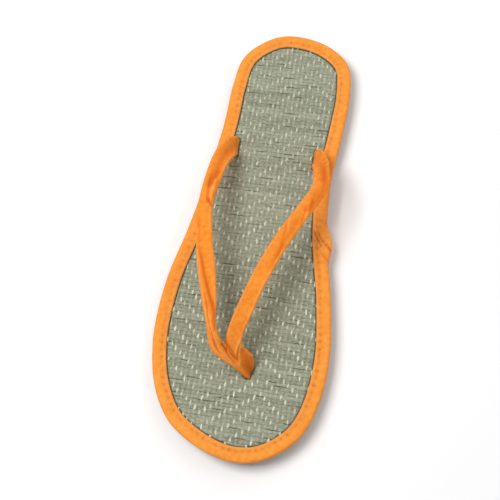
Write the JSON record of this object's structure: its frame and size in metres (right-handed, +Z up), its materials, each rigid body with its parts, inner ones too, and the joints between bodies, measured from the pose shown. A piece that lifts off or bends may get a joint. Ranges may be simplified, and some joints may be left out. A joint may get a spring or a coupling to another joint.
{
  "type": "woven flip-flop",
  "caption": "Flat right-foot flip-flop with a woven straw footbed, a cloth binding round its edge and a V-shaped cloth strap that runs down to a toe post.",
  "frame": {"origin": "middle of the sole's bounding rectangle, on the floor", "axes": "+Y from the heel to the toe, +X to the outer side of a right foot, +Z up"},
  "size_m": [0.0982, 0.26, 0.0355],
  "materials": {
    "foam_rubber": "matte",
    "woven_straw": "matte",
    "binding_cloth": "matte",
    "strap_cloth": "matte"
  },
  "bodies": {
    "root": {"outsole": "foam_rubber", "footbed": "woven_straw", "binding": "binding_cloth", "strap": "strap_cloth"}
  },
  "joints": []
}
